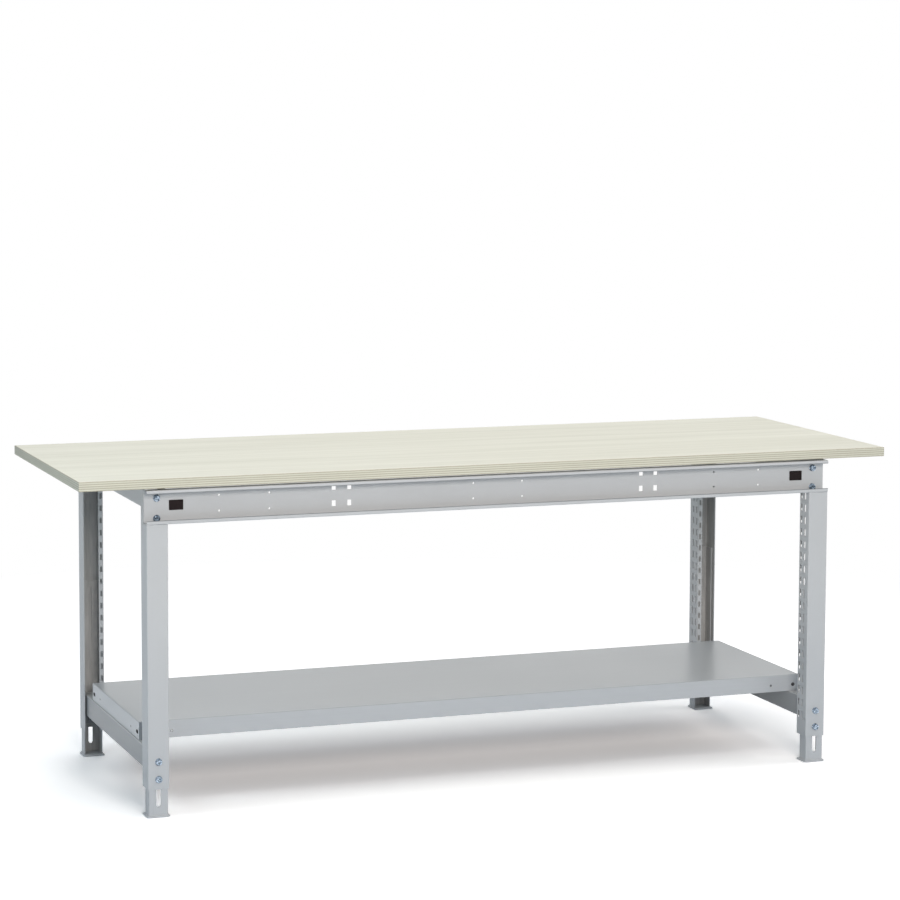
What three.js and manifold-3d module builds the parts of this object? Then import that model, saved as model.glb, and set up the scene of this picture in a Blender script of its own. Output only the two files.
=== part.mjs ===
// Assembly table: a wooden top on a bolted frame of bent sheet steel, with a lower shelf
// and four feet that slide in the legs to set the working height.
// Millimetres, +Z up, front towards -Y, origin on the floor under the middle of the whole table.
import * as THREE from "three";
import { mergeVertices } from "three/addons/utils/BufferGeometryUtils.js";
import Module from "manifold-3d";

const wasm = await Module();
wasm.setup();

// Fits
const SEAT_GAP = 0.3; // air between pieces that rest on, or are welded to, each other
const HOLE_SLACK = 0.6; // hole diameter beyond that of the bolt or screw in it
const SLIDE_SLACK = 0.5; // air round a foot where it slides in its leg
const CUT_PAST = 1; // how far a cut runs past the sheet on each side

// Top
const TOP_WIDTH = 2000;
const TOP_DEPTH = 700;
const TOP_THICKNESS = 22;
const TOP_HEIGHT = 768; // working height with the feet where the photograph has them
const TOP_EDGE_BREAK = 1; // chamfer on the top's edges
const TOP_END_OVERHANG = 152; // beyond the legs' outer faces, at each end
const TOP_REAR_OVERHANG = 20; // beyond the rear legs' faces

// Legs: a channel with one plain side, and one slotted side that ends in a slotted lip
const LEG_FACE = 50;
const LEG_SIDE = 50;
const LEG_LIP = 12;
const LEG_WALL = 2;
const LEG_BEND = 3; // outer bend radius
const LEG_BOTTOM = 64; // height of the legs' lower ends above the floor

// Slots for hanging accessories on the legs
const SLOT_PITCH = 30;
const SLOT_LENGTH = 20;
const SLOT_WIDTH = 7.5;
const SLOT_COLUMN_NEAR = 21; // from the leg's face to the middle of the nearer column
const SLOT_COLUMN_FAR = 40; // and of the farther one
const SLOT_DROP = 11; // from the rail's lower edge to the middle of the highest slot
const SLOT_LEAST_RISE = 40; // from the leg's lower end to the middle of the lowest slot, or more
const LIP_SLOT_LENGTH = 14;
const LIP_SLOT_WIDTH = 5.5;
const LIP_SLOT_DROP = 10; // lip slots sit lower than those on the side
const PIN_HOLE = 5.5; // round hole under the lowest slots
const PIN_HOLE_RISE = 42;
const PIN_HOLE_INSET = 10;

// Rails under the front and rear edges: channels whose open side faces outwards
const RAIL_HEIGHT = 77;
const RAIL_DEPTH = 30;
const RAIL_WALL = 2;
const RAIL_BEND = 3;
const RAIL_LIP = 9; // upturned lower lip
const RAIL_NOSE = 7.5; // downturned upper lip
const RAIL_PROUD = 2; // how far the lips stand in front of the legs
const RAIL_DROP = 4; // air between the rail and the top
const RAIL_END_INSET = 1; // from the leg's outer face to the rail's end
const HOOK_HOLE_WIDTH = 10;
const HOOK_HOLE_HEIGHT = 13.5;
const HOOK_HOLE_SPREAD = 37.5; // between neighbours in the square of four
const HOOK_GROUP_FROM_END = 465; // from the legs' outer faces to the middle of each square
const HOOK_GROUP_RISE = 44.5; // from the rail's lower edge to the middle of each square
const PEG_HOLE = 5;
const PEG_HOLE_SPREAD = 36;
const PEG_HOLE_RISE = 39.5;
const PEG_HOLE_MIDDLE_SPREAD = 122; // between the two upright pairs of peg holes at the rail's middle
const PEG_HOLE_OUTER_FROM_END = 175; // from the legs' outer faces to the outer pairs
const PEG_HOLE_INNER_FROM_END = 293;

// Black cover plugs in the rails
const PLUG_WIDTH = 33;
const PLUG_HEIGHT = 23;
const PLUG_FLANGE = 2; // how far the plug's face covers the edge of its opening
const PLUG_FACE = 1.2;
const PLUG_BODY = 7;
const PLUG_CORNER = 1.5;
const PLUG_FROM_END = 75; // from the leg's outer face to the plug's middle
const PLUG_RISE = 39.5; // from the rail's lower edge to the plug's middle

// Crossbars that carry the top and join front and rear legs
const CROSSBAR_HEIGHT = 47;
const CROSSBAR_WIDTH = 30;
const CROSSBAR_WALL = 2;
const CROSSBAR_BEND = 3;

// Brackets in the leg heads, to which the rails are bolted
const BRACKET_PLATE = 3;
const BRACKET_WING = 2.5;
const BRACKET_TRIM = 3; // from the rail's edges to the bracket's ends

// Feet: channels that slide in the legs, each on a base plate
const FOOT_TOP = 430;
const FOOT_SIDE = 33; // depth of the foot's sides, less than the leg's
const FOOT_WALL = 2;
const FOOT_BEND = 3;
const FOOT_SLOT_WIDTH = 10.5;
const FOOT_SLOT_BOTTOM = 24;
const FOOT_SLOT_MARGIN = 15; // steel left above the slot
const PLATE_THICKNESS = 4;
const PLATE_FLARE = 4.5; // how far the base plate stands out before and beside the foot
const PLATE_PAST = 11; // how far the base plate goes on past the foot's open side
const PLATE_CORNER = 6;

// Stretchers low between front and rear legs, with the end plates that clamp the feet
const STRETCHER_BOTTOM = 103;
const STRETCHER_HEIGHT = 50;
const STRETCHER_LIP_AIR = 1.2; // air between the stretcher and the legs' lips
const STRETCHER_WALL = 2;
const STRETCHER_BEND = 3;
const STRETCHER_HOLE = 7;
const STRETCHER_HOLE_FROM_FACE = 107; // from the legs' faces to the spare holes in the stretcher
const END_PLATE = 4;
const END_PLATE_TRIM = 1.5; // air between the end plate and the foot's sides
const END_PLATE_BELOW = 12; // end plate below the lower clamp bolt

// Shelf: a sheet tray turned upside down, on the stretchers
const SHELF_END_INSET = 9.5; // from the legs' outer faces to the shelf's ends
const SHELF_DEPTH = 462;
const SHELF_EDGE = 41;
const SHELF_RETURN = 16;
const SHELF_WALL = 1.2;
const SHELF_BEND = 2.5;
const SHELF_HOLE = 8;
const SHELF_END_SLOT = 18; // length of the corner holes in the shelf's ends
const SHELF_SMALL_HOLE = 4;
const SHELF_HOLE_INSET = 16.5; // from the shelf's corners along all its edges
const SHELF_SMALL_INSET = 77;
const SHELF_HOLE_RISE = 16; // from the shelf's lower edge to its holes
const STIFFENER_WIDTH = 50;
const STIFFENER_BRIM = 20;
const STIFFENER_HEIGHT = 30;
const STIFFENER_FROM_END = 45;

// Flange bolts and their welded nuts
const BOLT_DIAMETER = 8;
const BOLT_FLANGE = 16.5;
const BOLT_FLANGE_THICKNESS = 1.5;
const BOLT_HEX = 13; // across flats, for the heads and the nuts
const BOLT_HEX_HEIGHT = 5.3;
const NUT_HEIGHT = 6.5;
const BOLT_PAST_NUT = 2;
const RAIL_BOLT_PITCH = 46;
const RAIL_BOLT_FROM_END = 30; // from the legs' outer faces to the rail bolts
const CLAMP_RISE = 23.5; // from the leg's lower end to the lower clamp bolt
const CLAMP_PITCH = 40;

// Screws that hold the top and the shelf
const SCREW_DIAMETER = 5;
const SCREW_HEAD = 10;
const SCREW_HEAD_HEIGHT = 3;
const TOP_SCREW_GRIP = 13; // thread in the wood
const TOP_SCREWS = 4; // in each crossbar
const TOP_SCREW_END = 75; // from the legs' faces to the outermost screws
const SHELF_SCREW_PAST = 5;
const SHELF_SCREW_FROM_EDGE = 50; // from the shelf's long edges

// Roundness
const BEND_STEPS = 3; // flats in a quarter bend
const SLOT_END_STEPS = 3; // flats in a slot's round end
const HOLE_SIDES = 8;
const HEAD_SIDES = 12;
const MERGE_DISTANCE = 1e-4;

// Finishes
const WOOD = { color: 0xe8e7da, roughness: 0.45, metalness: 0 };
const COATED_STEEL = { color: 0xbfc4c7, roughness: 0.4, metalness: 0.25 };
const SHELF_STEEL = { color: 0xb3b3b0, roughness: 0.35, metalness: 0.5 };
const ZINC = { color: 0xb9c3cc, roughness: 0.28, metalness: 0.9 };
const BLACK_PLASTIC = { color: 0x282222, roughness: 0.5, metalness: 0 };

// Places that follow from the sizes above
const HEAD_PROUD = SEAT_GAP + BOLT_FLANGE_THICKNESS + BOLT_HEX_HEIGHT;
const FRONT_Y = -(TOP_DEPTH - HEAD_PROUD) / 2; // the top's front edge and the front legs' faces
const FRAME_DEPTH = TOP_DEPTH - TOP_REAR_OVERHANG; // over the front and rear faces of the legs
const LEG_SPREAD = TOP_WIDTH - 2 * TOP_END_OVERHANG; // over the outer faces of the left and right legs
const REAR_Y = FRONT_Y + FRAME_DEPTH;
const TOP_MIDDLE_Y = FRONT_Y + TOP_DEPTH / 2;
const TOP_UNDERSIDE = TOP_HEIGHT - TOP_THICKNESS;
const LEG_TOP = TOP_UNDERSIDE - SEAT_GAP;
const LEG_MIDDLE = LEG_FACE / 2;
const RAIL_TOP = TOP_UNDERSIDE - RAIL_DROP;
const RAIL_BOTTOM = RAIL_TOP - RAIL_HEIGHT;
const RAIL_BACK = RAIL_DEPTH - RAIL_PROUD; // depth of the rail's web behind the leg's face
const RAIL_BOLT_LOW = RAIL_BOTTOM + RAIL_WALL + BOLT_FLANGE / 2 + SEAT_GAP;
const BRACKET_FRONT = RAIL_BACK + SEAT_GAP;
const BRACKET_BACK = BRACKET_FRONT + BRACKET_PLATE;
const CROSSBAR_X = LEG_WALL + SEAT_GAP;
const CROSSBAR_END = BRACKET_BACK + SEAT_GAP;
const CROSSBAR_TOP = TOP_UNDERSIDE - SEAT_GAP;
const FOOT_X = LEG_WALL + SLIDE_SLACK;
const FOOT_WIDTH = LEG_FACE - 2 * FOOT_X;
const PLATE_DEPTH = PLATE_FLARE + FOOT_SIDE + PLATE_PAST;
const END_PLATE_FRONT = FOOT_X + FOOT_WALL + SLIDE_SLACK;
const END_PLATE_BACK = END_PLATE_FRONT + END_PLATE;
const END_PLATE_WIDTH = FOOT_WIDTH - 2 * FOOT_WALL - 2 * END_PLATE_TRIM;
const CLAMP_LOW = LEG_BOTTOM + CLAMP_RISE;
const STRETCHER_TOP = STRETCHER_BOTTOM + STRETCHER_HEIGHT;
const SHELF_LENGTH = LEG_SPREAD - 2 * SHELF_END_INSET;
const SHELF_BOTTOM = STRETCHER_TOP + SEAT_GAP;
const SHELF_TOP = SHELF_BOTTOM + SHELF_EDGE;
const BOLT_HOLE = BOLT_DIAMETER + HOLE_SLACK;
const SCREW_HOLE = SCREW_DIAMETER + HOLE_SLACK;

// A closed geometry as a solid that can be joined and cut.
function toSolid(geometry) {
  const bare = geometry.clone();
  bare.deleteAttribute("normal");
  bare.deleteAttribute("uv");
  const merged = mergeVertices(bare, MERGE_DISTANCE);
  return new wasm.Manifold(
    new wasm.Mesh({
      numProp: 3,
      vertProperties: merged.attributes.position.array,
      triVerts: new Uint32Array(merged.index.array),
    }),
  );
}

function toGeometry(solid) {
  const { vertProperties, triVerts } = solid.getMesh();
  const geometry = new THREE.BufferGeometry();
  geometry.setAttribute("position", new THREE.BufferAttribute(vertProperties, 3));
  geometry.setIndex(new THREE.BufferAttribute(triVerts, 1));
  geometry.computeVertexNormals();
  return geometry;
}

function join(...geometries) {
  return toGeometry(geometries.map(toSolid).reduce((whole, piece) => whole.add(piece)));
}

function cut(geometry, cutters) {
  return toGeometry(cutters.map(toSolid).reduce((rest, piece) => rest.subtract(piece), toSolid(geometry)));
}

function box(x0, x1, y0, y1, z0, z1) {
  const geometry = new THREE.BoxGeometry(x1 - x0, y1 - y0, z1 - z0);
  return geometry.translate((x0 + x1) / 2, (y0 + y1) / 2, (z0 + z1) / 2);
}

// Extrusions: the outline is given in (y, z), in (x, z) or in (x, y).
function alongX(outline, x0, x1) {
  const geometry = extrude(outline, x1 - x0);
  const turn = new THREE.Matrix4().makeBasis(
    new THREE.Vector3(0, 1, 0),
    new THREE.Vector3(0, 0, 1),
    new THREE.Vector3(1, 0, 0),
  );
  return geometry.applyMatrix4(turn).translate(x0, 0, 0);
}

function alongY(outline, y0, y1) {
  return extrude(outline, y1 - y0).rotateX(Math.PI / 2).translate(0, y1, 0);
}

function alongZ(outline, z0, z1) {
  return extrude(outline, z1 - z0).translate(0, 0, z0);
}

function extrude(outline, depth) {
  return new THREE.ExtrudeGeometry(outline, {
    depth,
    bevelEnabled: false,
    curveSegments: BEND_STEPS,
  });
}

// Cylinders along each axis, from one end to the other.
function rodX(x0, x1, y, z, diameter, sides) {
  const rod = new THREE.CylinderGeometry(diameter / 2, diameter / 2, x1 - x0, sides);
  return rod.rotateZ(Math.PI / 2).translate((x0 + x1) / 2, y, z);
}

function rodY(x, y0, y1, z, diameter, sides) {
  const rod = new THREE.CylinderGeometry(diameter / 2, diameter / 2, y1 - y0, sides);
  return rod.translate(x, (y0 + y1) / 2, z);
}

function rodZ(x, y, z0, z1, diameter, sides) {
  const rod = new THREE.CylinderGeometry(diameter / 2, diameter / 2, z1 - z0, sides);
  return rod.rotateX(Math.PI / 2).translate(x, y, (z0 + z1) / 2);
}

function hexY(x, y0, y1, z, acrossFlats) {
  return rodY(x, y0, y1, z, (acrossFlats * 2) / Math.sqrt(3), 6);
}

// Section of a bent sheet: a line through the sheet's middle, rounded at its corners,
// with half the wall set off to either side.
function sheetOutline(corners, wall, bend) {
  const points = corners.map(([u, v]) => new THREE.Vector2(u, v));
  const radius = bend - wall / 2;
  const oneSide = [];
  const otherSide = [];
  const lay = (middle, normal) => {
    oneSide.push(middle.clone().addScaledVector(normal, wall / 2));
    otherSide.unshift(middle.clone().addScaledVector(normal, -wall / 2));
  };
  const leftOf = (direction) => new THREE.Vector2(-direction.y, direction.x);
  const heading = (i) => points[i + 1].clone().sub(points[i]).normalize();
  lay(points[0], leftOf(heading(0)));
  for (let i = 1; i < points.length - 1; i += 1) {
    const normalIn = leftOf(heading(i - 1));
    const normalOut = leftOf(heading(i));
    const turn = Math.sign(normalIn.cross(normalOut));
    const hub = points[i].clone();
    hub.addScaledVector(normalIn, turn * radius).addScaledVector(normalOut, turn * radius);
    for (let step = 0; step <= BEND_STEPS; step += 1) {
      const angle = (turn * step * Math.PI) / 2 / BEND_STEPS;
      const normal = normalIn.clone().rotateAround(new THREE.Vector2(), angle);
      lay(hub.clone().addScaledVector(normal, -turn * radius), normal);
    }
  }
  lay(points.at(-1), leftOf(heading(points.length - 2)));
  return new THREE.Shape([...oneSide, ...otherSide]);
}

// Upright slot with round ends, centred on (u, v).
function slotOutline(u, v, width, length) {
  const radius = width / 2;
  const reach = length / 2 - radius;
  const points = [];
  for (const end of [1, -1]) {
    for (let step = 0; step <= SLOT_END_STEPS; step += 1) {
      const angle = (end > 0 ? 0 : Math.PI) + (step * Math.PI) / SLOT_END_STEPS;
      const out = new THREE.Vector2(Math.cos(angle), Math.sin(angle)).multiplyScalar(radius);
      points.push(out.add(new THREE.Vector2(u, v + end * reach)));
    }
  }
  return new THREE.Shape(points);
}

function rectangleOutline(u, v, width, height) {
  const points = [
    [-1, -1],
    [1, -1],
    [1, 1],
    [-1, 1],
  ].map(([i, j]) => new THREE.Vector2(u + (i * width) / 2, v + (j * height) / 2));
  return new THREE.Shape(points);
}

function roundedOutline(u, v, width, height, corner) {
  const outline = new THREE.Shape();
  const reachU = width / 2 - corner;
  const reachV = height / 2 - corner;
  outline.absarc(u + reachU, v + reachV, corner, 0, Math.PI / 2);
  outline.absarc(u - reachU, v + reachV, corner, Math.PI / 2, Math.PI);
  outline.absarc(u - reachU, v - reachV, corner, Math.PI, Math.PI * 1.5);
  outline.absarc(u + reachU, v - reachV, corner, Math.PI * 1.5, Math.PI * 2);
  return outline;
}

// Closed skin over a stack of rectangles, each [half width, half depth, height], in the order
// in which a line drawn over the skin meets them.
function rectangleSkin(loops) {
  const positions = [];
  for (const [halfX, halfY, z] of loops) {
    positions.push(-halfX, -halfY, z, halfX, -halfY, z, halfX, halfY, z, -halfX, halfY, z);
  }
  const faces = [];
  for (let loop = 0; loop < loops.length - 1; loop += 1) {
    for (let side = 0; side < 4; side += 1) {
      const a = loop * 4 + side;
      const b = loop * 4 + ((side + 1) % 4);
      faces.push(a, b, b + 4, a, b + 4, a + 4);
    }
  }
  const last = (loops.length - 1) * 4;
  faces.push(0, 2, 1, 0, 3, 2);
  faces.push(last, last + 1, last + 2, last, last + 2, last + 3);
  const geometry = new THREE.BufferGeometry();
  geometry.setAttribute("position", new THREE.Float32BufferAttribute(positions, 3));
  geometry.setIndex(faces);
  return geometry;
}

// Hexagon bolt with a flange, its axis along +Y and the flange's seat at y = 0.
function flangeBolt(length) {
  const headTop = -BOLT_FLANGE_THICKNESS - BOLT_HEX_HEIGHT;
  const rootDepth = -BOLT_FLANGE_THICKNESS / 2;
  return join(
    rodY(0, -BOLT_FLANGE_THICKNESS, 0, 0, BOLT_FLANGE, HEAD_SIDES),
    hexY(0, headTop, rootDepth, 0, BOLT_HEX),
    rodY(0, rootDepth, length, 0, BOLT_DIAMETER, HOLE_SIDES),
  );
}

// Pan-head screw, its axis along +Z and the head's seat at z = 0.
function panScrew(length) {
  return join(
    rodZ(0, 0, -SCREW_HEAD_HEIGHT, 0, SCREW_HEAD, HEAD_SIDES),
    rodZ(0, 0, -SCREW_HEAD_HEIGHT / 2, length, SCREW_DIAMETER, HOLE_SIDES),
  );
}

const table = new THREE.Group();
table.name = "assembly_table";

function addMesh(parent, name, geometry, finish) {
  const mesh = new THREE.Mesh(geometry, new THREE.MeshStandardMaterial(finish));
  mesh.name = name;
  parent.add(mesh);
  return mesh;
}

// A corner's frame starts at the leg's outer edge on the floor, with x and y running inwards.
function cornerFrame(side, end) {
  const frame = new THREE.Group();
  frame.position.set(side.x * (LEG_SPREAD / 2), end.y, 0);
  frame.scale.set(-side.x, end.inward, 1);
  table.add(frame);
  return frame;
}

const SIDES = [
  { name: "left", x: -1 },
  { name: "right", x: 1 },
];
const ENDS = [
  { name: "front", y: FRONT_Y, inward: 1 },
  { name: "rear", y: REAR_Y, inward: -1 },
];

// Leg, with its slots, its clamp holes and the notch that takes the rail's end.
function legGeometry() {
  const half = LEG_WALL / 2;
  const outline = sheetOutline(
    [
      [half, LEG_SIDE],
      [half, half],
      [LEG_FACE - half, half],
      [LEG_FACE - half, LEG_SIDE - half],
      [LEG_FACE - LEG_LIP, LEG_SIDE - half],
    ],
    LEG_WALL,
    LEG_BEND,
  );
  const notch = box(
    -CUT_PAST,
    LEG_FACE + CUT_PAST,
    -CUT_PAST,
    BRACKET_FRONT,
    RAIL_BOTTOM - SEAT_GAP,
    LEG_TOP + CUT_PAST,
  );
  const sideCut = [LEG_FACE - LEG_WALL - CUT_PAST, LEG_FACE + CUT_PAST];
  const lipCut = [LEG_SIDE - LEG_WALL - CUT_PAST, LEG_SIDE + CUT_PAST];
  const cutters = [notch];
  for (const z of slotRows()) {
    for (const y of [SLOT_COLUMN_NEAR, SLOT_COLUMN_FAR]) {
      cutters.push(alongX(slotOutline(y, z, SLOT_WIDTH, SLOT_LENGTH), ...sideCut));
    }
    const lipSlot = rectangleOutline(
      LEG_FACE - LEG_LIP / 2,
      z - LIP_SLOT_DROP,
      LIP_SLOT_WIDTH,
      LIP_SLOT_LENGTH,
    );
    cutters.push(alongY(lipSlot, ...lipCut));
  }
  cutters.push(rodX(...sideCut, PIN_HOLE_INSET, LEG_BOTTOM + PIN_HOLE_RISE, PIN_HOLE, HOLE_SIDES));
  for (const z of clampHeights()) {
    cutters.push(rodY(LEG_MIDDLE, -CUT_PAST, LEG_WALL + CUT_PAST, z, BOLT_HOLE, HOLE_SIDES));
  }
  return cut(alongZ(outline, LEG_BOTTOM, LEG_TOP), cutters);
}

function slotRows() {
  const rows = [];
  for (let z = RAIL_BOTTOM - SLOT_DROP; z >= LEG_BOTTOM + SLOT_LEAST_RISE; z -= SLOT_PITCH) {
    rows.push(z);
  }
  return rows;
}

function clampHeights() {
  return [CLAMP_LOW, CLAMP_LOW + CLAMP_PITCH];
}

function railBoltHeights() {
  return [RAIL_BOLT_LOW, RAIL_BOLT_LOW + RAIL_BOLT_PITCH];
}

// Angle bracket in the leg's head, with a welded nut for each rail bolt.
function headBracketGeometry() {
  const x0 = LEG_WALL + SEAT_GAP;
  const x1 = LEG_FACE - LEG_WALL - SEAT_GAP;
  const z0 = RAIL_BOTTOM + BRACKET_TRIM;
  const z1 = RAIL_TOP - BRACKET_TRIM;
  const wingEnd = LEG_SIDE - LEG_BEND - SEAT_GAP;
  const pieces = [
    box(x0, x1, BRACKET_FRONT, BRACKET_BACK, z0, z1),
    box(x1 - BRACKET_WING, x1, BRACKET_FRONT, wingEnd, z0, z1),
  ];
  const holes = [];
  for (const z of railBoltHeights()) {
    const nutEnd = BRACKET_BACK + NUT_HEIGHT;
    const drilled = [BRACKET_FRONT - CUT_PAST, nutEnd + CUT_PAST];
    pieces.push(hexY(RAIL_BOLT_FROM_END, BRACKET_FRONT + BRACKET_PLATE / 2, nutEnd, z, BOLT_HEX));
    holes.push(rodY(RAIL_BOLT_FROM_END, ...drilled, z, BOLT_HOLE, HOLE_SIDES));
  }
  return cut(join(...pieces), holes);
}

// Foot channel, with the long slot that the clamp bolts run in.
function footGeometry() {
  const half = FOOT_WALL / 2;
  const far = FOOT_X + FOOT_WIDTH;
  const outline = sheetOutline(
    [
      [FOOT_X + half, FOOT_X + FOOT_SIDE],
      [FOOT_X + half, FOOT_X + half],
      [far - half, FOOT_X + half],
      [far - half, FOOT_X + FOOT_SIDE],
    ],
    FOOT_WALL,
    FOOT_BEND,
  );
  const slotTop = FOOT_TOP - FOOT_SLOT_MARGIN;
  const slot = slotOutline(
    LEG_MIDDLE,
    (FOOT_SLOT_BOTTOM + slotTop) / 2,
    FOOT_SLOT_WIDTH,
    slotTop - FOOT_SLOT_BOTTOM,
  );
  const channel = alongZ(outline, PLATE_THICKNESS + SEAT_GAP, FOOT_TOP);
  return cut(channel, [alongY(slot, FOOT_X - CUT_PAST, FOOT_X + FOOT_WALL + CUT_PAST)]);
}

function footPlateGeometry() {
  const outline = roundedOutline(
    LEG_MIDDLE,
    FOOT_X - PLATE_FLARE + PLATE_DEPTH / 2,
    FOOT_WIDTH + 2 * PLATE_FLARE,
    PLATE_DEPTH,
    PLATE_CORNER,
  );
  return alongZ(outline, 0, PLATE_THICKNESS);
}

const leg = legGeometry();
const headBracket = headBracketGeometry();
const foot = footGeometry();
const footPlate = footPlateGeometry();
const clampBolt = flangeBolt(END_PLATE_BACK + NUT_HEIGHT + BOLT_PAST_NUT);
const railBolt = flangeBolt(RAIL_WALL + SEAT_GAP + BRACKET_PLATE + NUT_HEIGHT + BOLT_PAST_NUT);

function addBoltPair(frame, name, geometry, x, seat, heights) {
  const places = ["lower", "upper"];
  heights.forEach((z, i) => {
    const bolt = addMesh(frame, `${name}_${places[i]}`, geometry, ZINC);
    bolt.position.set(x, seat - SEAT_GAP, z);
  });
}

for (const end of ENDS) {
  for (const side of SIDES) {
    const place = `${end.name}_${side.name}`;
    const frame = cornerFrame(side, end);
    addMesh(frame, `${place}_leg`, leg, COATED_STEEL);
    addMesh(frame, `${place}_head_bracket`, headBracket, COATED_STEEL);
    addMesh(frame, `${place}_foot_channel`, foot, COATED_STEEL);
    addMesh(frame, `${place}_foot_plate`, footPlate, COATED_STEEL);
    addBoltPair(frame, `${place}_clamp_bolt`, clampBolt, LEG_MIDDLE, 0, clampHeights());
    const railSeat = RAIL_BACK - RAIL_WALL;
    addBoltPair(frame, `${place}_rail_bolt`, railBolt, RAIL_BOLT_FROM_END, railSeat, railBoltHeights());
  }
}

// Rail, in a frame with y running inwards from the leg's face and x along the table.
function railGeometry() {
  const half = RAIL_WALL / 2;
  const lipY = half - RAIL_PROUD;
  const webY = RAIL_BACK - half;
  const outline = sheetOutline(
    [
      [lipY, RAIL_TOP - RAIL_NOSE],
      [lipY, RAIL_TOP - half],
      [webY, RAIL_TOP - half],
      [webY, RAIL_BOTTOM + half],
      [lipY, RAIL_BOTTOM + half],
      [lipY, RAIL_BOTTOM + RAIL_LIP],
    ],
    RAIL_WALL,
    RAIL_BEND,
  );
  const reach = LEG_SPREAD / 2 - RAIL_END_INSET;
  const webCut = [RAIL_BACK - RAIL_WALL - CUT_PAST, RAIL_BACK + CUT_PAST];
  const cutters = [];
  for (const side of [-1, 1]) {
    const fromEnd = (distance) => side * (LEG_SPREAD / 2 - distance);
    for (const z of railBoltHeights()) {
      cutters.push(rodY(fromEnd(RAIL_BOLT_FROM_END), ...webCut, z, BOLT_HOLE, HOLE_SIDES));
    }
    const pegColumns = [
      side * (PEG_HOLE_MIDDLE_SPREAD / 2),
      fromEnd(PEG_HOLE_INNER_FROM_END),
      fromEnd(PEG_HOLE_OUTER_FROM_END),
    ];
    for (const x of pegColumns) {
      for (const up of [-0.5, 0.5]) {
        const z = RAIL_BOTTOM + PEG_HOLE_RISE + up * PEG_HOLE_SPREAD;
        cutters.push(rodY(x, ...webCut, z, PEG_HOLE, HOLE_SIDES));
      }
    }
    for (const along of [-0.5, 0.5]) {
      for (const up of [-0.5, 0.5]) {
        const x = fromEnd(HOOK_GROUP_FROM_END) + along * HOOK_HOLE_SPREAD;
        const z = RAIL_BOTTOM + HOOK_GROUP_RISE + up * HOOK_HOLE_SPREAD;
        cutters.push(alongY(rectangleOutline(x, z, HOOK_HOLE_WIDTH, HOOK_HOLE_HEIGHT), ...webCut));
      }
    }
    const opening = rectangleOutline(
      fromEnd(PLUG_FROM_END),
      RAIL_BOTTOM + PLUG_RISE,
      PLUG_WIDTH - 2 * PLUG_FLANGE,
      PLUG_HEIGHT - 2 * PLUG_FLANGE,
    );
    cutters.push(alongY(opening, ...webCut));
  }
  return cut(alongX(outline, -reach, reach), cutters);
}

// Cover plug: a thin face over the rail's opening and a body that fills it.
function plugGeometry(x) {
  const z = RAIL_BOTTOM + PLUG_RISE;
  const seat = RAIL_BACK - RAIL_WALL - SEAT_GAP;
  const bodyWidth = PLUG_WIDTH - 2 * PLUG_FLANGE - 2 * SEAT_GAP;
  const bodyHeight = PLUG_HEIGHT - 2 * PLUG_FLANGE - 2 * SEAT_GAP;
  const face = roundedOutline(x, z, PLUG_WIDTH, PLUG_HEIGHT, PLUG_CORNER);
  const body = rectangleOutline(x, z, bodyWidth, bodyHeight);
  return join(
    alongY(face, seat - PLUG_FACE, seat),
    alongY(body, seat - PLUG_FACE / 2, seat + PLUG_BODY),
  );
}

const rail = railGeometry();
for (const end of ENDS) {
  const frame = new THREE.Group();
  frame.position.y = end.y;
  frame.scale.y = end.inward;
  table.add(frame);
  addMesh(frame, `${end.name}_rail`, rail, COATED_STEEL);
  for (const side of SIDES) {
    const plug = plugGeometry(side.x * (LEG_SPREAD / 2 - PLUG_FROM_END));
    addMesh(frame, `${end.name}_${side.name}_cover_plug`, plug, BLACK_PLASTIC);
  }
}

// A side's frame starts at the legs' outer face, with x running inwards and y from the front legs' faces.
function topScrewPlaces() {
  const step = (FRAME_DEPTH - 2 * TOP_SCREW_END) / (TOP_SCREWS - 1);
  return Array.from({ length: TOP_SCREWS }, (_, i) => TOP_SCREW_END + i * step);
}

function shelfScrewPlaces() {
  const reach = SHELF_DEPTH / 2 - SHELF_SCREW_FROM_EDGE;
  const middle = TOP_MIDDLE_Y - FRONT_Y;
  return [middle - reach, middle + reach];
}

const TOP_SCREW_X = CROSSBAR_X + CROSSBAR_WIDTH / 2;
const END_PLATE_X = LEG_MIDDLE - END_PLATE_WIDTH / 2;
const STRETCHER_FAR = LEG_FACE - LEG_LIP - STRETCHER_LIP_AIR;
const SHELF_SCREW_X = SHELF_END_INSET + SHELF_RETURN / 2;

function crossbarGeometry() {
  const half = CROSSBAR_WALL / 2;
  const bottom = CROSSBAR_TOP - CROSSBAR_HEIGHT;
  const outline = sheetOutline(
    [
      [CROSSBAR_X + CROSSBAR_WIDTH, CROSSBAR_TOP - half],
      [CROSSBAR_X + half, CROSSBAR_TOP - half],
      [CROSSBAR_X + half, bottom + half],
      [CROSSBAR_X + CROSSBAR_WIDTH, bottom + half],
    ],
    CROSSBAR_WALL,
    CROSSBAR_BEND,
  );
  const flange = [CROSSBAR_TOP - CROSSBAR_WALL - CUT_PAST, CROSSBAR_TOP + CUT_PAST];
  const holes = topScrewPlaces().map((y) => rodZ(TOP_SCREW_X, y, ...flange, SCREW_HOLE, HOLE_SIDES));
  return cut(alongY(outline, CROSSBAR_END, FRAME_DEPTH - CROSSBAR_END), holes);
}

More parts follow.
